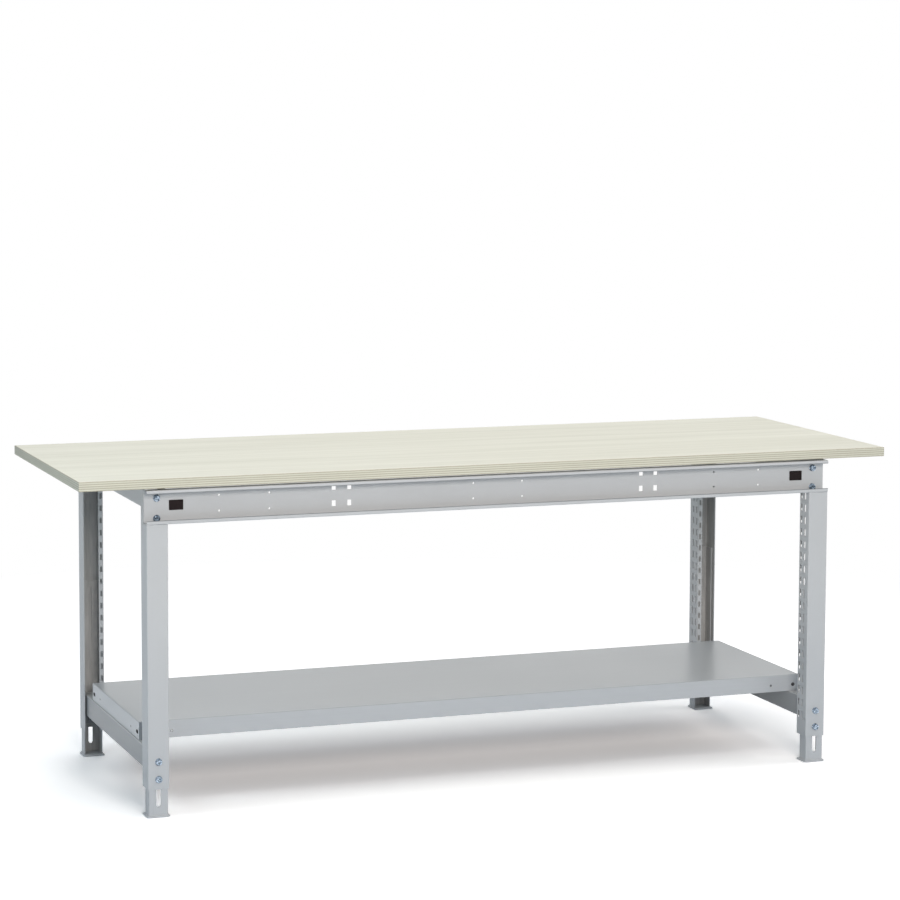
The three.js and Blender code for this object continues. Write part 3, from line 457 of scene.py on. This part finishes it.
def wood_material(finishes, underside, ply):
    """Lacquered plywood. The faces show long grain along the table, the edges show the plies: a ply's
    number is height over ply thickness, and every second one is cut across its grain."""
    m = Material("plywood")
    here = m.place()
    bands = m.noise(m.place((0.55, 13, 13)), 1.0, 3.0, 0.5)
    long_grain = m.noise(m.place((1.6, 60, 60)), 1.0, 4.0, 0.6)
    fibres = m.noise(m.place((9, 420, 420)), 1.0, 3.0, 0.6)
    figure = m.between(bands, 0.3, 0.7, 0.0, 0.65)
    figure = m.math("ADD", figure, m.between(long_grain, 0.35, 0.7, 0.0, 0.4))
    figure = m.math("ADD", figure, m.between(fibres, 0.35, 0.75, -0.08, 0.16))
    figure = m.node("Clamp", {0: figure}).outputs[0]
    face = m.mix(figure, linear(finishes.veneer), linear(finishes.veneer_grain))
    level = m.math("DIVIDE", m.math("SUBTRACT", m.split(here)[2], underside), ply)
    across = m.between(m.math("PINGPONG", m.math("ADD", level, 0.5), 1.0), 0.45, 0.6, 0.0, 1.0)
    specks = m.noise(m.place((900, 900, 500)), 1.0, 2.0)
    runs = m.noise(m.place((5, 5, 700)), 1.0, 3.0, 0.6)
    light, dark = linear(finishes.ply_light), linear(finishes.ply_dark)
    dark = m.mix(m.between(specks, 0.35, 0.65, 0.0, 0.7), dark, scaled(dark, 0.78))
    light = m.mix(m.between(runs, 0.35, 0.7, 0.0, 0.7), light, scaled(light, 0.84))
    edge = m.mix(across, light, dark)
    upright = m.math("ABSOLUTE", m.split(m.node("TexCoord").outputs["Normal"])[2])
    is_face = m.between(upright, 0.8, 0.9, 0.0, 1.0)
    relief = m.math("ADD", m.math("MULTIPLY", fibres, is_face), m.math("MULTIPLY", specks, 0.6))
    gloss = m.between(fibres, 0.3, 0.7, 0.58, 0.68)
    return m.finish(
        {
            "Base Color": m.mix(is_face, edge, face),
            "Roughness": m.math("SUBTRACT", gloss, m.math("MULTIPLY", is_face, 0.16)),
            "Normal": m.bump(relief, 0.08, 0.0003),
            "Specular IOR Level": 0.35,
        }
    )


def paint(object_or_node, material):
    """Gives an object, or the node of that name, one material in its only slot."""
    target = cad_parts[object_or_node] if isinstance(object_or_node, str) else object_or_node
    target.data.materials.clear()
    target.data.materials.append(material)


def closed_surface(rings, near_pole, far_pole):
    """Vertices and faces of a tube of rings, shaped (rings, sides, 3), closed by a fan at either pole.
    Its faces are turned outwards by the sign of the enclosed volume."""
    count, sides, _ = rings.shape
    vertices = np.concatenate([rings.reshape(-1, 3), near_pole[None], far_pole[None]])
    around = np.arange(sides)
    beyond = (around + 1) % sides
    here = np.arange(count - 1)[:, None] * sides
    corners = (here + around, here + beyond, here + sides + beyond, here + sides + around)
    quads = np.stack(corners, -1).reshape(-1, 4)
    near, far = np.full(sides, count * sides), np.full(sides, count * sides + 1)
    last = (count - 1) * sides
    near_fan = np.stack([near, beyond, around], -1)
    far_fan = np.stack([far, last + around, last + beyond], -1)
    fans = np.concatenate([near_fan, far_fan])
    triangles = np.concatenate([quads[:, [0, 1, 2]], quads[:, [0, 2, 3]], fans])
    a, b, c = (vertices[triangles[:, i]] for i in range(3))
    if np.einsum("ij,ij->i", a, np.cross(b, c)).sum() < 0:
        quads, fans = quads[:, ::-1], fans[:, ::-1]
    return vertices, quads, fans


def piece(name, surfaces, material, body, replaced=(), crease=40):
    """One object out of several closed surfaces, shaded smooth up to the crease angle in degrees."""
    offset = 0
    points, faces = [], []
    for vertices, quads, fans in surfaces:
        points.append(vertices)
        faces += (quads + offset).tolist() + (fans + offset).tolist()
        offset += len(vertices)
    mesh = bpy.data.meshes.new(name)
    mesh.from_pydata(np.concatenate(points).tolist(), [], faces)
    mesh.validate()
    mesh.shade_smooth()
    mesh.set_sharp_from_angle(angle=math.radians(crease))
    made = bpy.data.objects.new(name, mesh)
    bpy.context.scene.collection.objects.link(made)
    paint(made, material)
    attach(made, body)
    if replaced:
        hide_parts(*replaced)
    return made


def round_angles():
    """Angles of the sides of a round piece, once round."""
    return np.arange(ROUND_SIDES) * TURN / ROUND_SIDES


def thread(radius, depth, pitch, start, end, angles, per_turn=4):
    """Radii and depths of a thread: a triangle wave of the distance along the axis plus the share of a turn,
    which runs out within a pitch of either end."""
    rows = np.linspace(start, end, max(2, int(abs(end - start) / pitch * per_turn) + 1))
    phase = (rows[:, None] / pitch + angles[None] / TURN) % 1.0
    ramp = np.clip(np.minimum(np.abs(rows - start), np.abs(rows - end)) / pitch, 0, 1)
    wave = 2 * np.abs(phase - 0.5) * ramp[:, None]
    return radius - depth * wave, np.broadcast_to(rows[:, None], wave.shape)


def flange_bolt(sizes, reach, turned):
    """Bolt along its own axis: hexagon radius (flats / 2) / cos(angle to the nearest flat), cut by a
    30 degree cone, on a conical flange, above a threaded shank. Heights are out of the seat."""
    angles = round_angles()
    flat = sizes.hex_flats / 2
    hexagon = flat / np.cos((angles + turned) % (TURN / 6) - TURN / 12)
    full = np.ones_like(angles)
    foot, top = sizes.flange_height, sizes.flange_height + sizes.hex_height
    edge = sizes.flange / 2
    crown = flat * 0.95
    cone = top - np.maximum(hexagon - crown, 0) * math.tan(math.radians(30))
    rows = [
        (full * flat * 0.45, full * (top - 0.0004)),
        (full * flat * 0.62, full * top),
        (full * crown, full * top),
        (hexagon, cone),
        (hexagon, full * (foot + 0.0009)),
        (np.maximum(hexagon * 1.01, flat * 1.1), full * (foot + 0.0006)),
        (full * (edge - 0.0005), full * foot * 0.75),
        (full * edge, full * foot * 0.45),
        (full * edge, full * foot * 0.12),
        (full * (edge - 0.0002), full * 0.0),
        (full * sizes.bolt / 2, full * 0.0),
    ]
    radii, heights = (np.array([row[i] for row in rows]) for i in range(2))
    worm, depth = thread(sizes.bolt / 2, 0.0005, sizes.bolt_pitch, -0.0015, -reach + 0.0008, angles)
    tip = full[None] * (sizes.bolt / 2 - 0.0009)
    radii = np.concatenate([radii, worm, tip])
    heights = np.concatenate([heights, depth, full[None] * -reach])
    return angles, radii, heights


def along_y(angles, radii, heights, seat, outward):
    """Surface of revolution about a line along Y through the seat; outward is the way the head points."""
    x, z = seat[0] + radii * np.cos(angles), seat[2] + radii * np.sin(angles)
    rings = np.stack([x, seat[1] + outward * heights, z], -1)
    ends = [np.array([seat[0], seat[1] + outward * heights[i].mean(), seat[2]]) for i in (0, -1)]
    return closed_surface(rings, *ends)


def pan_screw(sizes, reach, centre, seat):
    """Screw from below: a head domed by (1 - 0.96 (r / R) ** 2) ** 0.5 with a cross recess, and a thread."""
    angles = round_angles()
    head = sizes.screw_head / 2
    shares = np.linspace(0.1, 1.0, 12)
    radii = np.repeat((shares * head)[:, None], ROUND_SIDES, 1)
    dome = 0.35 * sizes.screw_head_height + 0.65 * sizes.screw_head_height * np.sqrt(1 - 0.96 * shares**2)
    x, y = radii * np.cos(angles), radii * np.sin(angles)
    recess = (np.minimum(np.abs(x), np.abs(y)) < head * 0.17) & (radii < head * 0.55)
    heights = dome[:, None] - np.where(recess, 0.45 * sizes.screw_head_height, 0.0)
    full = np.ones((1, ROUND_SIDES))
    worm, depth = thread(sizes.screw / 2, 0.0006, sizes.screw_pitch, -0.001, -reach + 0.002, angles)
    radii = np.concatenate([radii, full * head, full * sizes.screw / 2, worm, full * sizes.screw * 0.12])
    heights = np.concatenate([heights, full * 0.0, full * 0.0, depth, full * -reach])
    x, y = centre[0] + radii * np.cos(angles), centre[1] + radii * np.sin(angles)
    rings = np.stack([x, y, seat - heights], -1)
    ends = [np.array([centre[0], centre[1], seat - heights[i].mean()]) for i in (0, -1)]
    return closed_surface(rings, *ends)


def rounded_rectangle(width, height, corner, steps=6):
    """Outline shaped (sides, 2): a quarter circle of the corner's radius about each corner's hub."""
    quarter = np.arange(4)[:, None]
    angles = (quarter + np.linspace(0, 1, steps)) * TURN / 4
    hub = np.array([[1, 1], [-1, 1], [-1, -1], [1, -1]]) * (np.array([width, height]) / 2 - corner)
    return (hub[:, None] + corner * np.stack([np.cos(angles), np.sin(angles)], -1)).reshape(-1, 2)


def stacked_outlines(width, height, corner, rows):
    """Rings shaped (rows, sides, 3): the outline drawn in by each row's inset, at each row's depth."""
    rings = []
    for inset, depth in rows:
        rounding = max(corner - inset, corner * 0.25)
        outline = rounded_rectangle(width - 2 * inset, height - 2 * inset, rounding)
        rings.append(np.pad(outline, ((0, 0), (0, 1)), constant_values=depth))
    return np.stack(rings)


def bead(path, radius, ripple):
    """Weld bead along a path: rings of radius r (1 + a sin(k s)) across the path at the distance s."""
    along = np.gradient(path, axis=0)
    along /= np.linalg.norm(along, axis=1, keepdims=True)
    helper = np.where(np.abs(along[:, 2:3]) > 0.9, np.array([[1.0, 0, 0]]), np.array([[0, 0, 1.0]]))
    across = np.cross(along, helper)
    across /= np.linalg.norm(across, axis=1, keepdims=True)
    upward = np.cross(across, along)
    travelled = np.concatenate([[0], np.cumsum(np.linalg.norm(np.diff(path, axis=0), axis=1))])
    ends = np.clip(np.minimum(travelled, travelled[-1] - travelled) / radius, 0.15, 1) ** 0.5
    size = radius * (1 + ripple * np.sin(travelled / radius * 4.2)) * ends
    angles = np.arange(BEAD_SIDES) * TURN / BEAD_SIDES
    ring = np.cos(angles)[None, :, None] * across[:, None] + np.sin(angles)[None, :, None] * upward[:, None]
    return closed_surface(path[:, None] + ring * size[:, None, None], path[0], path[-1])


def named(part):
    """Nodes whose names hold the given part, in order."""
    return sorted(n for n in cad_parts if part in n)


class TABLE_OT_frame(bpy.types.Operator):
    """Coats the legs, rails, crossbars, brackets, stretchers and feet"""

    bl_idname = "table.frame"
    bl_label = "Coat the frame"

    def execute(self, context):
        finishes, sheet = context.scene.table_finishes, context.scene.table_sheet
        leg = mirrored_ranges("front_right_leg", "rear_right_leg")
        foot = mirrored_ranges("front_right_foot_channel", "rear_right_foot_channel")
        rail = mirrored_ranges("front_rail", "rear_rail")
        low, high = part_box("front_rail")
        # Heights of the painted shadow lines: the top edges of the lips and the lower edges of the noses.
        edges = (low.z + sheet.rail_lip, high.z - sheet.rail_nose)

        # Masks for the painted shade inside the legs and feet.
        def in_leg(m, where):
            return inside_channel(m, where, leg, sheet.wall)

        def in_foot(m, where):
            return inside_channel(m, where, foot, sheet.wall)

        # Mask for the painted shadow lines along the rails' lips.
        def shade_on_lips(m, where):
            return lip_lines(m, where, rail, edges, sheet.wall)

        # Mask for the painted highlight along the stretchers' top bends.
        def highlight_on_top_edges(m, where):
            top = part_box("left_stretcher")[1].z
            return m.between(m.split(where)[2], top - sheet.bend, top - 0.4 * sheet.bend, 0.0, 1.0)

        plain = coat_material("bar_coat", finishes, 0.40)
        finish = {
            "_leg": coat_material("leg_coat", finishes, 0.40, inside=in_leg),
            "_rail": coat_material("rail_coat", finishes, 0.38, lip_shade=shade_on_lips),
            "_foot_": coat_material("foot_coat", finishes, 0.42, inside=in_foot, sliding=True),
            "_crossbar": plain,
            "_head_bracket": plain,
            # The stretchers' coat is darkened as painted shade and carries a painted highlight along its top
            # bends.
            "_stretcher": coat_material("stretcher_coat_shaded", finishes, 0.40, 0.64, pale=highlight_on_top_edges),
        }
        for part, coat in finish.items():
            for node in named(part):
                if "bolt" not in node:
                    paint(node, coat)
        return {"FINISHED"}


class TABLE_OT_top(bpy.types.Operator):
    """Finishes the plywood top"""

    bl_idname = "table.top"
    bl_label = "Finish the top"

    def execute(self, context):
        low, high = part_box("tabletop")
        ply = (high.z - low.z) / context.scene.table_sheet.plies
        paint("tabletop", wood_material(context.scene.table_finishes, low.z, ply))
        return {"FINISHED"}


class TABLE_OT_shelf(bpy.types.Operator):
    """Coats the shelf and its stiffener"""

    bl_idname = "table.shelf"
    bl_label = "Coat the shelf"

    def execute(self, context):
        low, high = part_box("shelf")
        coat = shelf_material(context.scene.table_finishes, low, high, context.scene.table_sheet)
        for node in named("shelf"):
            if "screw" not in node:
                paint(node, coat)
        return {"FINISHED"}


class TABLE_OT_bolts(bpy.types.Operator):
    """Makes the flange bolts of the rails and of the foot clamps"""

    bl_idname = "table.bolts"
    bl_label = "Make the bolts"

    def execute(self, context):
        sizes = context.scene.table_fasteners
        zinc = zinc_material(context.scene.table_finishes)
        proud = sizes.flange_height + sizes.hex_height
        for group in ("rail_bolt", "clamp_bolt"):
            nodes = named(group)
            surfaces = []
            for index, node in enumerate(nodes):
                low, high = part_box(node)
                outward = -1 if node.startswith("front") else 1
                seat_y = low.y + proud if outward < 0 else high.y - proud
                seat = np.array([(low.x + high.x) / 2, seat_y, (low.z + high.z) / 2])
                bolt = flange_bolt(sizes, high.y - low.y - proud, turned=sizes.bolt_turn * index)
                surfaces.append(along_y(*bolt, seat, outward))
            piece(group + "s", surfaces, zinc, "frame", nodes)
        for group in ("top_screw", "shelf_screw"):
            nodes = named(group)
            surfaces = []
            for node in nodes:
                low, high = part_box(node)
                centre = ((low + high) / 2)[:2]
                seat = low.z + sizes.screw_head_height
                surfaces.append(pan_screw(sizes, high.z - seat, centre, seat))
            piece(group + "s", surfaces, zinc, "frame", nodes)
        return {"FINISHED"}


class TABLE_OT_plugs(bpy.types.Operator):
    """Makes the black cover plugs in the rails"""

    bl_idname = "table.plugs"
    bl_label = "Make the plugs"

    def execute(self, context):
        sizes = context.scene.table_details
        plastic = plug_material(context.scene.table_finishes)
        face, border, deep, step = sizes.plug_face, sizes.plug_border, sizes.plug_dish, sizes.plug_step
        # Each ring's inset from the edge and its depth: the dished face, its soft rim, then the body.
        dish = [(0.0100, deep), (border + 0.0005, deep), (border, 0.0), (0.0009, 0.0)]
        rim = [(0.0003, 0.00012), (0.0, 0.0005), (0.0, face)]
        for node in named("cover_plug"):
            low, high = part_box(node)
            size = high - low
            outward = -1 if node.startswith("front") else 1
            outer_y = low.y if outward < 0 else high.y
            body = [(step, face), (step, size.y - 0.0006), (step + 0.0007, size.y), (0.0105, size.y)]
            rings = stacked_outlines(size.x, size.z, sizes.plug_corner, dish + rim + body)
            middle = (low + high) / 2
            across, up, depth = np.moveaxis(rings, -1, 0)
            placed = np.stack([middle.x + across, outer_y - outward * depth, middle.z + up], -1)
            surface = closed_surface(placed, placed[0].mean(0), placed[-1].mean(0))
            piece(node + "_moulded", [surface], plastic, "frame", [node], crease=30)
        return {"FINISHED"}


class TABLE_OT_feet(bpy.types.Operator):
    """Makes the base plates and the welds that join them to the feet"""

    bl_idname = "table.feet"
    bl_label = "Make the base plates"

    def execute(self, context):
        sizes = context.scene.table_details
        coat = coat_material("plate_coat", context.scene.table_finishes, 0.42)
        for corner in CORNERS:
            node = corner + "_foot_plate"
            low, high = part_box(node)
            size, middle = high - low, (low + high) / 2
            top = size.z
            # Each ring's inset from the edge and its height, with the edges rounded over.
            lower = [(0.012, 0), (0.0009, 0), (0.0003, 0.0002), (0, 0.0008)]
            upper = [(0, top - 0.0009), (0.0003, top - 0.0002), (0.001, top), (0.012, top)]
            rings = stacked_outlines(size.x, size.y, sizes.plate_corner, lower + upper)
            rings += np.array([middle.x, middle.y, low.z])
            plate = closed_surface(rings, rings[0].mean(0), rings[-1].mean(0))
            piece(node + "_pressed", [plate], coat, corner + "_foot", [node], crease=30)
            start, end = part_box(corner + "_foot_channel")
            inward = 1 if corner.startswith("front") else -1
            web, open_end = (start.y, end.y) if inward > 0 else (end.y, start.y)
            sides = np.array([[start.x, open_end], [start.x, web], [end.x, web], [end.x, open_end]])
            steps = np.linspace(0, 1, BEAD_STEPS, endpoint=False)[:, None]
            flat = np.concatenate([sides[i] + (sides[i + 1] - sides[i]) * steps for i in range(3)])
            path = np.concatenate([flat, np.full((len(flat), 1), high.z + 0.0002)], -1)
            weld = bead(path, sizes.foot_bead, sizes.bead_ripple)
            piece(corner + "_foot_weld", [weld], coat, corner + "_foot")
        return {"FINISHED"}


class TABLE_OT_welds(bpy.types.Operator):
    """Makes the weld beads between crossbars and legs"""

    bl_idname = "table.welds"
    bl_label = "Make the crossbar welds"

    def execute(self, context):
        sizes = context.scene.table_details
        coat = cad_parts["left_crossbar"].data.materials[0]
        trim = sizes.bar_bead_trim
        surfaces = []
        for side in ("left", "right"):
            low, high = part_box(side + "_crossbar")
            x = low.x if side == "left" else high.x
            for end in ("front", "rear"):
                leg_low, leg_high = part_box(f"{end}_{side}_leg")
                y = leg_high.y if end == "front" else leg_low.y
                z = np.linspace(low.z + trim, high.z - trim, BEAD_STEPS)
                path = np.stack([np.full_like(z, x), np.full_like(z, y), z], -1)
                surfaces.append(bead(path, sizes.bar_bead, sizes.bead_ripple))
        piece("crossbar_welds", surfaces, coat, "frame")
        return {"FINISHED"}


def lamp(name, place, aim, size, power, light_colour):
    """Square softbox at a place, turned to its aim. Level faces don't mirror it at flat angles."""
    light = bpy.data.lights.new(name, "AREA")
    light.shape, light.size, light.energy, light.color = "SQUARE", size, power, light_colour
    made = bpy.data.objects.new(name, light)
    made.location = place
    made.rotation_euler = (Vector(aim) - Vector(place)).to_track_quat("-Z", "Y").to_euler()
    made.visible_glossy = False
    bpy.context.scene.collection.objects.link(made)


class TABLE_OT_stage(bpy.types.Operator):
    """Sets up the floor, the soft light and the camera"""

    bl_idname = "table.stage"
    bl_label = "Set the stage"

    def execute(self, context):
        settings = context.scene.table_stage
        self.lay_floor(settings)
        self.light_room(context.scene, settings)
        self.place_camera(context.scene, settings)
        context.scene.view_settings.view_transform = "Standard"
        return {"FINISHED"}

    def lay_floor(self, settings):
        """A wide level sheet that takes the table's shadow and turns to plain white farther off."""
        reach, gap = 60.0, 0.0002
        fade_start, fade_end = 1.3, 3.0
        square = np.array([[-1, -1, 0], [1, -1, 0], [1, 1, 0], [-1, 1, 0]]) * reach
        mesh = bpy.data.meshes.new("floor")
        mesh.from_pydata((square - np.array([0, 0, gap])).tolist(), [], [(0, 1, 2, 3)])
        floor = bpy.data.objects.new("floor", mesh)
        bpy.context.scene.collection.objects.link(floor)
        m = Material("floor_paper")
        seen = m.seen()
        fibres = m.grey(m.between(m.noise(m.place(), 900.0, 2.0), 0.3, 0.7, 0.98, 1.02))
        gain = settings.floor_gain
        shown = m.mix(1.0, linear(settings.floor), (1.04 * gain, gain, 0.99 * gain, 1.0), "MULTIPLY")
        paper = m.mix(1.0, m.mix(seen, linear(settings.floor_bounce), shown), fibres, "MULTIPLY")
        lit = m.node("BsdfDiffuse", {"Color": paper})
        away = m.node("VectorMath", {0: m.place()}, operation="LENGTH").outputs["Value"]
        share = m.math("MULTIPLY", seen, m.between(away, fade_start, fade_end, 0.0, 1.0))
        white = m.node("Emission", {"Color": (1, 1, 1, 1), "Strength": 1.0})
        paint(floor, m.shaded(m.node("MixShader", {0: share, 1: lit.outputs[0], 2: white.outputs[0]})))

    def light_room(self, scene, settings):
        """Even light from all round, softboxes overhead and on three sides, a small cool one on the left."""
        world = bpy.data.worlds.new("room")
        world.use_nodes = True
        room = Nodes(world.node_tree)
        seen = room.seen()
        inputs = {
            "Color": room.mix(seen, linear(settings.ambient_tint), (1, 1, 1, 1)),
            "Strength": room.between(seen, 0.0, 1.0, settings.ambient, 1.0),
        }
        room.node("OutputWorld", {"Surface": room.node("Background", inputs).outputs[0]})
        scene.world = world
        for settled in LAMPS:
            lamp(*settled)

    def place_camera(self, scene, settings):
        """Looks along +Y turned by yaw towards +X and down by pitch; roll turns the picture."""
        yaw, pitch, roll = settings.camera_yaw, settings.camera_pitch, settings.camera_roll
        view = Vector((math.sin(yaw) * math.cos(pitch), math.cos(yaw) * math.cos(pitch), -math.sin(pitch)))
        level = Vector((math.cos(yaw), -math.sin(yaw), 0))
        upright = level.cross(view)
        right = math.cos(roll) * level + math.sin(roll) * upright
        up = right.cross(view)
        data = bpy.data.cameras.new("camera")
        data.sensor_width, data.lens, data.shift_y = 36.0, settings.focal, settings.shift
        data.clip_start, data.clip_end = 0.05, 300.0
        made = bpy.data.objects.new("camera", data)
        made.matrix_world = Matrix((right, up, -view)).transposed().to_4x4()
        made.location = settings.camera_place
        scene.collection.objects.link(made)
        scene.camera = made


class TABLE_PT_looks(bpy.types.Panel):
    """Lists the table's pieces and its settings"""

    bl_idname = "TABLE_PT_looks"
    bl_label = "Assembly table"
    bl_space_type = "VIEW_3D"
    bl_region_type = "UI"
    bl_category = "Table"

    def draw(self, context):
        for operator in OPERATORS:
            self.layout.operator(operator.bl_idname)
        for name in GROUPS:
            group = getattr(context.scene, name)
            column = self.layout.column(align=True)
            for key in group.__annotations__:
                column.prop(group, key)


OPERATORS = (
    TABLE_OT_frame,
    TABLE_OT_top,
    TABLE_OT_shelf,
    TABLE_OT_bolts,
    TABLE_OT_plugs,
    TABLE_OT_feet,
    TABLE_OT_welds,
    TABLE_OT_stage,
)
GROUPS = {
    "table_finishes": TableFinishes,
    "table_sheet": TableSheet,
    "table_fasteners": TableFasteners,
    "table_details": TableDetails,
    "table_stage": TableStage,
}


def register():
    """Makes the groups, operators and panel known to Blender."""
    for cls in (*GROUPS.values(), *OPERATORS, TABLE_PT_looks):
        bpy.utils.register_class(cls)
    for name, cls in GROUPS.items():
        setattr(bpy.types.Scene, name, PointerProperty(type=cls))


def unregister():
    """Takes them out again, in reverse order."""
    for name in GROUPS:
        delattr(bpy.types.Scene, name)
    for cls in reversed((*GROUPS.values(), *OPERATORS, TABLE_PT_looks)):
        bpy.utils.unregister_class(cls)


def main():
    register()
    bpy.ops.table.frame()
    bpy.ops.table.top()
    bpy.ops.table.shelf()
    bpy.ops.table.bolts()
    bpy.ops.table.plugs()
    bpy.ops.table.feet()
    bpy.ops.table.welds()
    bpy.ops.table.stage()


if __name__ == "__main__":
    main()
